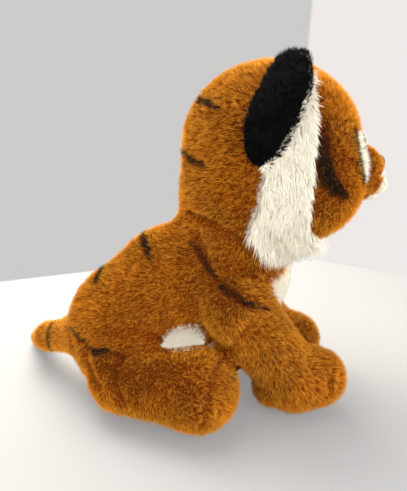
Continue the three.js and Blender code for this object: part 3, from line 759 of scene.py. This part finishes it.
def pile_material(name, colours, patches, sheen=0.0, tint=(1, 1, 1, 1), backing=False, gloss=0.1):
    """Pile, or the knitted cloth that backs it. The colours are main, painted shade, bright, white and dark.
    """
    material, tree, shader = new_material(name, {
        "Roughness": 0.9 if backing else 0.78, "Sheen Weight": sheen, "Sheen Roughness": 0.35,
        "Sheen Tint": tint, "Specular IOR Level": gloss,
    })
    place = object_place(tree)
    marks = node(tree, "ShaderNodeAttribute", attribute_name="pile").outputs
    dyed = node(tree, "ShaderNodeGroup", node_tree=dyed_pile)
    feed(tree, dyed, {"Place": place, "Marks": marks["Color"], "Tip": marks["Alpha"], "Patches": patches})
    for socket, colour in zip(("Main", "Painted Shade", "Bright", "White", "Dark"), colours):
        feed(tree, dyed, {socket: (*colour, 1)})
    feed(tree, shader, {"Base Color": dyed.outputs["Color"]})
    if backing:
        knit = node(tree, "ShaderNodeGroup", node_tree=knit_backing)
        feed(tree, knit, {"Place": place})
        add_bump(tree, shader, 0.0006, knit.outputs["Height"])
    return material


# The three deep colours are painted shade: the pile is mixed to them at its roots and in patches, and the
# orange and white backing cloths are mostly them, for the shade down in the pile. The bright colours are
# lighter tips that also stand in for a painted glow of light through them at the rims.
white_main = (0.91, 0.86, 0.73)
white_painted_shade = (0.90, 0.84, 0.69)
white_bright = (0.97, 0.94, 0.85)
stripe_dark = (0.020, 0.014, 0.008)
orange_main = (0.57, 0.148, 0.003)
orange_painted_shade = (0.18, 0.030, 0.001)
orange_bright = (1.0, 0.490, 0.045)
black_main = (0.003, 0.003, 0.003)
black_painted_shade = (0.002, 0.002, 0.002)
black_bright = (0.007, 0.007, 0.008)
black_dark = (0.004, 0.004, 0.004)

# The pile and the cloth of each fabric, by its slot
fabrics = {
    "orange_plush": (
        pile_material("orange_pile", (orange_main, orange_painted_shade, orange_bright, white_main, stripe_dark),
                      0.8, 0.06, (1.0, 0.60, 0.15, 1), gloss=0.06),
        pile_material("orange_cloth", (orange_painted_shade, orange_painted_shade, orange_main, white_painted_shade, stripe_dark),
                      0.6, 0.0, (1.0, 0.6, 0.2, 1), backing=True),
    ),
    "white_plush": (
        pile_material("white_long_pile", (white_main, white_painted_shade, white_bright, white_main, stripe_dark),
                      0.35, 0.3, (1.0, 0.97, 0.90, 1)),
        pile_material("white_cloth", (white_painted_shade, white_painted_shade, white_main, white_main, stripe_dark),
                      0.4, 0.1, backing=True),
    ),
    "black_plush": (
        pile_material("black_long_pile", (black_main, black_painted_shade, black_bright, white_main, black_dark),
                      0.6, gloss=0.03),
        pile_material("black_cloth", (black_dark, black_painted_shade, (0.01, 0.01, 0.01), white_main, black_dark),
                      0.6, backing=True),
    ),
}


# Making a stuffed piece: its cloth and its pile

def pressed(points, normals):
    """Moves points inwards where the cloth is creased, by depth exp(-(distance / width) squared), and
    keeps them over the table."""
    for line, deep, width in creases:
        away = nearness(points, line, width, taper=False)
        points = points - normals * (deep * np.exp(-away**2))[:, None]
    return over_table(points, 0.4)


def trim_of(points):
    """Share of its length that the pile keeps: less in the creases and more round the eyes."""
    pressed_in = np.zeros(len(points))
    for line, _, width in creases:
        pressed_in = np.maximum(pressed_in, np.exp(-nearness(points, line, width * 0.8, taper=False) ** 2))
    share, _ = eye_patch(points)
    return 1 - 0.35 * pressed_in + 0.3 * (1 - step(share, 0.6, 1.0))


def uncovered(points, name):
    """Where a part's own form fills these points about as much as any other does, and none buries them."""
    mine = fullness(forms[name], points)
    rest = [fullness(form, points) for other, form in forms.items() if other != name]
    return (mine - np.max(rest, axis=0) > -0.05) & (fullness(whole, points) < 0.9)


def stuffed(name, near, core, axis, stretch, rows, columns):
    """The part's outer surface with its neighbours' swell, its normals, and its creased cloth below the
    pile."""
    grid = skin_grid(forms[name], core, ball_grid(rows, columns, axis, stretch))
    union = forms[name] + [part for other in near for part in forms[other]]
    surface = settled(union, grid.reshape(-1, 3), 10 * MM)
    normals = unit(fall(union, surface))
    cloth = over_table(pressed(surface, normals) - normals * short_pile * 0.9, 0.8)
    return [points.reshape(grid.shape) for points in (surface, normals, cloth)]


def ride_on(piece, body, bend):
    if bend is None:
        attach(piece, body)
    else:
        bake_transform(piece)


def add_cloth(name, cloth, slot, marks_of, body, replaced, bend=None):
    skin = closed_skin(name, cloth, fabrics[slot][1])
    points = skin_vertices(skin)
    mark_skin(skin, marks_of(points, np.full(len(points), 0.4)))
    ride_on(skin, body, bend)
    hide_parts(*replaced)


def add_pile(name, roots, normals, places, marks, flow, body, slot, length, lean, seed, levels=2, thick=0.24,
             tuft=2.6, pull=0.35, wander=0.35, droop=0.0, bend=None, ragged=0.7, trim=1.0):
    """Strands of this length and lean from the roots, in pieces of fewer than 200,000 triangles."""
    draw = np.random.default_rng(seed)
    middles, own = tufts(roots, tuft * MM, seed)
    lay = combed(roots, normals, flow, wander, ragged, seed, own)
    leans = math.radians(lean) * (1 + 0.28 * ripple(roots, 12 * MM, seed + 9) + 0.4 * (own[:, 1] - 0.5))
    lengths = length * trim * (0.90 + 0.18 * own[:, 2])
    marks = np.concatenate([marks[:, :2], marks[:, 2:] * 0.45 + own[:, :1] * 0.55], 1)
    paths = pile_paths(roots, normals, lay, lengths, leans, levels, middles, pull, draw, droop)
    radii = thick * MM * draw.uniform(0.8, 1.2, (len(roots), 1)) * np.linspace(1, 0.6, levels)[None]
    faces_each = 6 * levels - 8
    pieces = max(1, math.ceil(len(roots) * faces_each / 190000))
    order = np.argsort(places[:, 0], kind="stable")
    for number, chosen in enumerate(np.array_split(order, pieces)):
        label = name if pieces == 1 else f"{name}_{number + 1}"
        strands = [values[chosen] for values in (paths, radii, marks, places)]
        piece = strand_mesh(label, *strands, fabrics[slot][0])
        ride_on(piece, body, bend)


def dressed(name, near, core, axis, stretch, rows, columns, flow_of, marks_of, replaced, seed, bend=None,
            keep=lambda points: True):
    """A stuffed part: its cloth, and short pile where no other part covers it. Gives its surface."""
    surface, normals, cloth = stuffed(name, near, core, axis, stretch, rows, columns)
    add_cloth(f"{name}_cloth", cloth, "orange_plush", marks_of, name, replaced, bend)
    roots, root_normals, places, chance = rooted(
        surface, normals, 2.3, seed,
        lambda points, _: uncovered(points, name) & (points[:, 2] > 1.2 * MM) & keep(points),
    )
    marks = marks_of(roots, chance)
    sunk = over_table(pressed(roots, root_normals) - root_normals * short_pile, 0.5)
    trim = trim_of(roots)
    # Painted shade: the strands' own shade is lowered where the creases press the pile in.
    marks[:, 2] *= np.minimum(trim, 1)
    add_pile(f"{name}_pile", sunk, root_normals, places, marks, flow_of(roots), name, "orange_plush",
             short_pile * 1.18, 28, seed, thick=0.212, tuft=1.9, pull=0.3, bend=bend, trim=trim)
    return surface, normals


def torso_flow(points):
    return np.broadcast_to(np.array([0, 0.85, -0.5]), points.shape)


def head_flow(points):
    return unit(points - snout_seat) + np.array([0, 0.25, -0.25])


def limb_flow(form):
    line = form[-1]["to"] - form[0]["at"]
    return lambda points: np.broadcast_to(unit(line) + np.array([0, 0, -0.25]), points.shape)


legs = [f"{kind}_{side}" for kind in ("front_leg", "hind_leg") for side in SIDES]
surface, surface_normals = dressed(
    "torso", [*legs, "tail", "head"], body_middle, [0, 0, 1], 1.0, 140, 190, torso_flow, body_marks,
    ["torso_cover", "belly_panel", "torso_stuffing", "pellet_pouch"], 11,
    keep=lambda points: ~in_bulge(points))

# The belly's smooth white bulge: dense, even pile with its tips on the form
roots, normals, places, chance = rooted(
    surface, surface_normals, 9.0, 17, lambda points, _: in_bulge(points) & uncovered(points, "torso"))
add_pile("belly_bulge_pile", roots - normals * short_pile, normals, places, marks_from(1, 0, chance),
         torso_flow(roots), "torso", "orange_plush", short_pile * 1.15, 18, 19, pull=0.0, wander=0.1,
         ragged=0.1)

head_surface, head_normals = dressed(
    "head", ["torso"], head_middle, [0, 0, 1], 1.0, 90, 120, head_flow, head_marks,
    ["head_cover", "head_stuffing"], 23, keep=lambda points: ~in_ruff(points, -0.05))

for side_name, side in SIDES.items():
    for kind, other, seed in (("front_leg", "hind_leg", 31), ("hind_leg", "front_leg", 37)):
        name = f"{kind}_{side_name}"
        form = forms[name]
        core = (form[0]["at"] + form[0]["to"]) / 2
        axis = unit(form[0]["at"] - form[0]["to"])
        pivot = np.array(joints[f"{name}_swing"]["pos_m"])
        replaced = [f"{name}_cover", f"{name}_stuffing"]
        if kind == "hind_leg":
            replaced.append(f"sole_{side_name}")
        dressed(name, ["torso", f"{other}_{side_name}"], core, axis, 1.8, 64, 72, limb_flow(form), limb_marks,
                replaced, seed + side, bend=("torso", name, pivot + axis * 6 * MM, pivot - axis * 24 * MM))


def tail_marks(points, chance):
    """The tail's one dark ring: a thin band by the place where the photograph shows it."""
    offset = points - np.array([3.5, 97, 34]) * MM - shift
    away = np.abs(offset @ unit(np.array([0.15, 0.99, 0.05]))) / MM + ripple(points, 14 * MM, 5) * 0.3
    return marks_from(0, 1 - step(away + chance * 0.4, 1.3, 2.1), chance)


tail = forms["tail"]
tail_line = unit(tail[0]["at"] - tail[-1]["to"])
tail_pivot = np.array(joints["tail_swing"]["pos_m"])
dressed("tail", ["torso"], tail[0]["to"], tail_line, 2.6, 48, 48, limb_flow(tail), tail_marks,
        ["tail_cover", "tail_stuffing"], 43,
        bend=("torso", "tail", tail_pivot + tail_line * 4 * MM, tail_pivot - tail_line * 16 * MM))


# Snout, chin and nose: their middles from the snout's seat, and their half sizes, in mm

def snout_marks(points, chance):
    """White on the front and underside of the snout, orange above and behind."""
    offset = (points - snout_seat) / MM
    forward = -0.896 * offset[:, 1] - 0.44 * offset[:, 2] + (chance - 0.5) * 1.2
    return marks_from(step(forward, 13.8, 15.0), 0, chance)


snout_reach, snout_height = 19, 36
pad_width, pad_height = 17, 15
ovals = [("snout_bridge", [0, 0, snout_height * 0.03], [19, 19, 18], 51)]
for side_name, side in SIDES.items():
    middle = [side * pad_width * 0.42, -snout_reach * 0.60, -pad_height * 0.50]
    ovals.append((f"muzzle_pad_{side_name}", middle, [8.5, 9, 7.5], 53 + side))
ovals.append(("chin", [0, -snout_reach * 0.45, -pad_height * 0.94], [8.5, 8, 5], 57))

for name, middle, half, seed in ovals:
    ways = ball_grid(28, 36, (0, -1, 0))
    half = np.array(half) * MM
    grid = snout_seat + np.array(middle) * MM + ways * half
    grid_normals = unit(ways / half)
    add_cloth(f"{name}_cloth", grid - grid_normals * snout_pile * 0.8, "orange_plush", snout_marks, "head",
              [name])
    roots, normals, places, chance = rooted(
        grid, grid_normals, 4.0, seed, lambda points, _: fullness(forms["head"], points) < 0.35)
    add_pile(f"{name}_pile", roots - normals * snout_pile, normals, places, snout_marks(roots, chance),
             head_flow(roots), "head", "orange_plush", snout_pile * 1.3, 34, seed, thick=0.2, tuft=1.8)


def nose_material():
    """Satin stitch: fine threads side by side, run across the nose."""
    material, tree, shader = new_material(
        "nose_satin", {"Roughness": 0.5, "Sheen Weight": 0.05, "Sheen Roughness": 0.3})
    thread = node(tree, "ShaderNodeTexWave", bands_direction="X")
    feed(tree, thread, {"Scale": 420, "Distortion": 1.2, "Vector": object_place(tree)})
    colour = mix(tree, thread.outputs["Fac"], (0.10, 0.030, 0.022, 1), (0.19, 0.062, 0.046, 1))
    feed(tree, shader, {"Base Color": colour})
    add_bump(tree, shader, 0.0004, thread.outputs["Fac"])
    return material


def nose_grid(middle, rows, columns):
    """A soft triangle on its point: half width falls from the top to the bottom of an ellipsoid."""
    half = np.array([6.5, 3.6, 5.0]) * MM
    grid = middle + ball_grid(rows, columns, (0, -1, 0)) * half
    fallen = np.clip((middle[2] - grid[..., 2]) / half[2], -1, 1)
    narrow = 1 - 0.42 * (fallen + 1) / 2
    grid[..., 0] = middle[0] + (grid[..., 0] - middle[0]) * narrow
    return grid


nose_middle = snout_seat + np.array([0, -snout_reach * 0.82, snout_height * 0.16]) * MM
nose = closed_skin("nose_pad", nose_grid(nose_middle, 24, 32), nose_material())
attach(nose, "head")
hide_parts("nose")


# Eyes

def eye_material():
    """Safety eye: a black pupil in an amber ring that darkens to its rim, under a clear coat."""
    material, tree, shader = new_material("eye_plastic", {
        "Roughness": 0.2, "Coat Weight": 0.5, "Coat Roughness": 0.05, "Specular IOR Level": 0.2,
    })
    ring = node(tree, "ShaderNodeAttribute", attribute_name="ring").outputs["Fac"]
    iris = mix(tree, between(tree, ring, 0.62, 0.90), (0.26, 0.105, 0.012, 1),
               (0.03, 0.010, 0.003, 1))
    flecks = noise(tree, object_place(tree), 900, 2)
    flecks = maths(tree, "MULTIPLY", flecks, 0.5)
    iris = mix(tree, flecks, iris, (0.07, 0.025, 0.006, 1))
    pupil = between(tree, ring, 0.58, 0.62)
    feed(tree, shader, {"Base Color": mix(tree, pupil, (0.004, 0.004, 0.004, 1), iris)})
    return material


def lathed(profile, place, normal, columns):
    """A profile of (radius, height) in mm, turned about a normal at a place."""
    radius, height = (np.array(profile) * MM).T[:, :, None, None]
    return place + normal * height + round_ways(normal, columns) * radius


eye_plastic = eye_material()
eye_radius = 7
eye_sunk = 3.2 - 0.3
angles = np.linspace(0, np.pi / 2, 12)
dome = np.stack([eye_radius * np.sin(angles), 0.8 + 3 * np.cos(angles)], -1)
stem = [(eye_radius, 0.3), (6.6, 0), (1.7, -0.05), (1.6, -1), (1.6, -12.8), (1.2, -13), (0, -13)]
for side_name, normal in eye_normals.items():
    place = eye_places[side_name] - normal * eye_sunk * MM
    grid = lathed(np.vstack([dome, stem]), place, normal, 48)
    eye = closed_skin(f"eye_{side_name}_dome", grid, eye_plastic)
    offset = skin_vertices(eye) - place
    outward = np.linalg.norm(offset - (offset @ normal)[:, None] * normal, axis=1)
    ring = eye.data.attributes.new("ring", "FLOAT", "POINT")
    ring.data.foreach_set("value", (outward / (eye_radius * MM)).astype(np.float32))
    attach(eye, "head")
    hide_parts(f"eye_{side_name}")

washer_material, tree, shader = new_material("washer_moulded", {"Roughness": 0.45})
grain = noise(tree, object_place(tree), 700, 2)
feed(tree, shader, {"Base Color": mix(tree, grain, (0.62, 0.62, 0.60, 1), (0.74, 0.74, 0.72, 1))})
for side_name in SIDES:
    materials = frame["nodes"][f"eye_washer_{side_name}"].data.materials
    materials.clear()
    materials.append(washer_material)


# Ears

ear_half_width = 19.5


def ear_frame(side):
    """The middle of the ear's seam on the head, and the head's normal, the leaf's length and its width."""
    way = unit(np.array([0.80 * side, 0.25, 0.50]))
    base = skin_grid(forms["head"], head_middle, way[None])[0]
    normal = unit(fall(forms["head"], base[None]))[0]
    along = np.array([-0.31 * side, -0.36, 0.84])
    along = unit(along - normal * (along @ normal))
    return base, normal, along, np.cross(along, normal) * -side


def ear_leaf(side, outer, inner, rows, columns):
    """A cupped leaf from the middle of one face over the rim to the middle of the other: along by
    length sin(polar) sin(round), across by width sin(polar) cos(round), narrower on the side where it is
    folded and squarer on the other, the top bent aside, and out by the cup and the face's rise."""
    base, normal, along, across = ear_frame(side)
    polar = np.linspace(0, np.pi, rows + 1)[:, None]
    around = -side * np.linspace(0, 2 * np.pi, columns + 1)[None, :]
    radius, dome = np.sin(polar), np.abs(np.cos(polar))
    rise = np.where(np.cos(polar) > 0, outer, inner)
    turn = np.cos(around)
    squared = np.where(turn > 0, turn, -np.abs(turn) ** 0.8)
    length = np.where(np.sin(around) > 0, 33, 38) * MM * radius * np.sin(around)
    aside = 5.5 * np.maximum(radius * np.sin(around), 0) ** 2
    reach = np.where(turn > 0, 7.5, ear_half_width)
    width = (ear_half_width - aside + reach * radius * squared) * MM
    out = (5 * dome**2 + rise * dome) * MM + 0 * around
    return base + along * length[..., None] + across * width[..., None] + normal * out[..., None]


def normals_of(grid):
    """Normals of a grid from the cross product of its two slopes, evened out at the poles."""
    down = np.gradient(grid, axis=0)
    along = np.gradient(grid, axis=1)
    along[:, 0] = along[:, -1] = (grid[:, 1] - grid[:, -2]) / 2
    normals = np.cross(down, along)
    normals[0] = normals[1].mean(0)
    normals[-1] = normals[-2].mean(0)
    return unit(normals)


# Each layer's rise outside and inside in mm, its fabric, and which way it faces
ear_layers = [("back", 2.2, 0.3, "black_plush", 1), ("lining", -0.3, -1.6, "white_plush", -1)]
for side_name, side in SIDES.items():
    body = f"ear_{side_name}"
    base, normal, along, across = ear_frame(side)
    for layer, outer, inner, slot, sign in ear_layers:
        def on_leaf(points, point_normals):
            """On the layer's own face and clear of the head. The lining's pile keeps off the folded rim."""
            across_share = ((points - base) @ across / MM - ear_half_width) / ear_half_width
            along_share = (points - base) @ along / (36 * MM)
            off_rim = (sign > 0) | (across_share > 0) | (across_share**2 + along_share**2 < 0.80)
            return (point_normals @ normal * sign > -0.2) & (fullness(forms["head"], points) < 0.1) & off_rim

        grid = ear_leaf(side, outer, inner, 28, 48)
        add_cloth(f"{body}_{layer}_cloth", grid, slot, plain_marks, body, [f"{body}_{layer}"])
        roots, normals, places, chance = rooted(grid, normals_of(grid), 4.4, 61 + side + (sign > 0), on_leaf)
        add_pile(f"{body}_{layer}_pile", roots - normals * 1.5 * MM, normals, places,
                 plain_marks(roots, chance), np.broadcast_to(along, roots.shape) * sign, body, slot, ear_pile,
                 46, 67 + side, levels=3, thick=0.2, wander=0.15, ragged=0.5)


# Cheek ruffs: long white pile over the sides of the head

for side_name, side in SIDES.items():
    roots, normals, places, chance = rooted(
        head_surface, head_normals, 4.0, 71 + side,
        lambda points, _: (in_ruff(points) & (points[:, 0] * side > 0)
                           & ((points - neck_at) @ neck_axis > -1 * MM)),
    )
    middle_y = head_middle[1] + 0.04 * head_half[1]
    spread = (roots[:, 1] - middle_y) / (0.25 * head_half[1])
    flow = np.stack([np.full(len(roots), 0.15 * side), 0.12 * spread, np.full(len(roots), -1.0)], -1)
    low_down = step((head_middle[2] - roots[:, 2]) / head_half[2], 0.6, 1.0)
    name = f"cheek_ruff_{side_name}"
    add_pile(f"{name}_pile", roots - normals * 3.5 * MM, normals, places, plain_marks(roots, chance), flow,
             "head", "white_plush", ruff_pile, 50, 73 + side, levels=3, thick=0.28, tuft=3.0, wander=0.10,
             droop=0.3, ragged=0.25, trim=1 + 0.7 * low_down)
    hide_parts(name)


# Studio

# The grey wall is painted shade on a pale wall.
wall_painted_shade = (0.60, 0.60, 0.595, 1)
wall_bright = (0.86, 0.82, 0.80, 1)


def backdrop_rays(tree):
    """1 for the rays that show the backdrop: straight from the camera, or by way of gloss or glass."""
    rays = node(tree, "ShaderNodeLightPath").outputs
    through = maths(tree, "MAXIMUM", rays["Is Glossy Ray"], rays["Is Transmission Ray"])
    return maths(tree, "MAXIMUM", rays["Is Camera Ray"], through)


def walls(tree, y, low, high):
    """Colour of the two pale walls, which meet between these y. The grey one is painted shade."""
    return mix(tree, between(tree, y, low, high), wall_bright, wall_painted_shade)


def show(tree, share, plain, shown, output):
    """Shows one shader over another, by this share, at the tree's output."""
    either = node(tree, "ShaderNodeMixShader", {0: share, 1: plain.outputs[0], 2: shown.outputs[0]})
    feed(tree, tree.nodes[output], {"Surface": either.outputs[0]})


def stage_material():
    """Pale table that keeps the toy's shadow. Beyond its far edges the camera sees the two pale walls: the
    edges are the lines x + 0.4056 y = 0.310 and x - 0.721 y = 0.434."""
    material, tree, shader = new_material("pale_table", {
        "Roughness": 0.7, "Specular IOR Level": 0.1, "Emission Color": (1.0, 0.99, 0.98, 1),
    })
    x, y, _ = node(tree, "ShaderNodeSeparateXYZ", {0: object_place(tree)}).outputs
    left, right = (
        maths(tree, "SUBTRACT", maths(tree, "MULTIPLY_ADD", y, slope, x), reach)
        for slope, reach in ((0.4056, 0.310), (-0.721, 0.434))
    )
    far = between(tree, maths(tree, "MAXIMUM", left, right), 0.0, 0.012)
    wall = node(tree, "ShaderNodeEmission", {"Color": walls(tree, y, -0.13, -0.10)})
    looking = backdrop_rays(tree)
    feed(tree, shader, {
        "Base Color": mix(tree, looking, (0.85, 0.85, 0.85, 1), (0.235, 0.235, 0.237, 1)),
        "Emission Strength": maths(tree, "MULTIPLY", looking, 0.23),
    })
    show(tree, maths(tree, "MULTIPLY", looking, far), shader, wall, "Material Output")
    return material


floor_mesh = bpy.data.meshes.new("table_top")
floor_mesh.from_pydata([(-3, -3, 0), (3, -3, 0), (3, 3, 0), (-3, 3, 0)], [], [(0, 1, 2, 3)])
floor_mesh.materials.append(stage_material())
floor = placed("table_top", floor_mesh)

world = bpy.data.worlds.new("studio")
bpy.context.scene.world = world
world.use_nodes = True
tree = world.node_tree
light = tree.nodes["Background"]
feed(tree, light, {"Color": (1.0, 0.985, 0.96, 1), "Strength": 0.83})
place = node(tree, "ShaderNodeTexCoord").outputs["Generated"]
y = node(tree, "ShaderNodeSeparateXYZ", {0: place}).outputs["Y"]
seen = node(tree, "ShaderNodeBackground", {"Color": walls(tree, y, -0.212, -0.204)})
show(tree, backdrop_rays(tree), light, seen, "World Output")


# Round lamps: where each is, where it aims, how wide, its watts and its colour
for name, place, aim, size, power, colour in (
    ("overhead", (0.15, 0.15, 0.85), (0, 0, 0.08), 0.7, 9.5, (1.0, 0.97, 0.92)),
    ("beside", (-0.60, -0.38, 0.28), (0, -0.03, 0.08), 0.8, 4.8, (1, 1, 1)),
    ("behind", (0.45, 0.25, 0.50), (0, 0, 0.12), 0.8, 11.0, (1.0, 0.93, 0.78)),
):
    data = bpy.data.lights.new(name, "AREA")
    data.shape = "DISK"
    data.size = size
    data.energy = power
    data.color = colour
    lamp = placed(name, data)
    way = unit(np.array(aim) - np.array(place))
    lamp.location = place
    lamp.rotation_euler = (math.acos(-way[2]), 0, math.atan2(way[1], way[0]) - math.pi / 2)

camera_data = bpy.data.cameras.new("photograph")
camera_data.lens = 36 * focal_pixels / photo_high
camera_data.sensor_width = 36
camera_data.clip_start = 0.01
camera = placed("photograph", camera_data)
camera.location = camera_at
camera.rotation_euler = (math.pi / 2 - camera_down, 0, -math.pi / 2)
bpy.context.scene.camera = camera
bpy.context.scene.view_settings.view_transform = "Standard"
